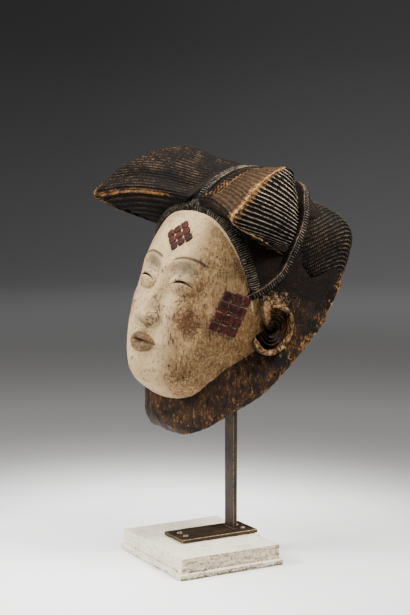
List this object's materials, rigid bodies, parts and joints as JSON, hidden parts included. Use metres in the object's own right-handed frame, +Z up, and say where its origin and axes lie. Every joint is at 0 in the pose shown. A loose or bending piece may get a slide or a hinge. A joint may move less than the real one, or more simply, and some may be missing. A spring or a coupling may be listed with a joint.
{
  "type": "okuyi mask on stand",
  "caption": "Carved and painted wooden Punu okuyi mask with a high two-winged coiffure, hollow behind, held by a flat metal bar on a painted stepped plinth.",
  "frame": {"origin": "centre of the plinth's underside", "axes": "+Z up, -Y the way the mask looks, +X to the mask's own left"},
  "size_m": [0.2198, 0.2568, 0.4279],
  "materials": {
    "carved_wood": "kaolin white face with ochre wear, dark red scales, blackened hair and collar with worn brown edges",
    "painted_wood": "off-white distressed matt paint",
    "dark_steel": "dark brown patina, worn lighter along the edges",
    "screw_metal": "dull, tarnished"
  },
  "bodies": {
    "root": {"okuyi_mask": "carved_wood", "plinth": "painted_wood", "foot_plate": "dark_steel", "upright_bar": "dark_steel", "cradle": "dark_steel", "plate_screw_1": "screw_metal", "plate_screw_2": "screw_metal", "plate_screw_3": "screw_metal", "plate_screw_4": "screw_metal"}
  },
  "joints": []
}
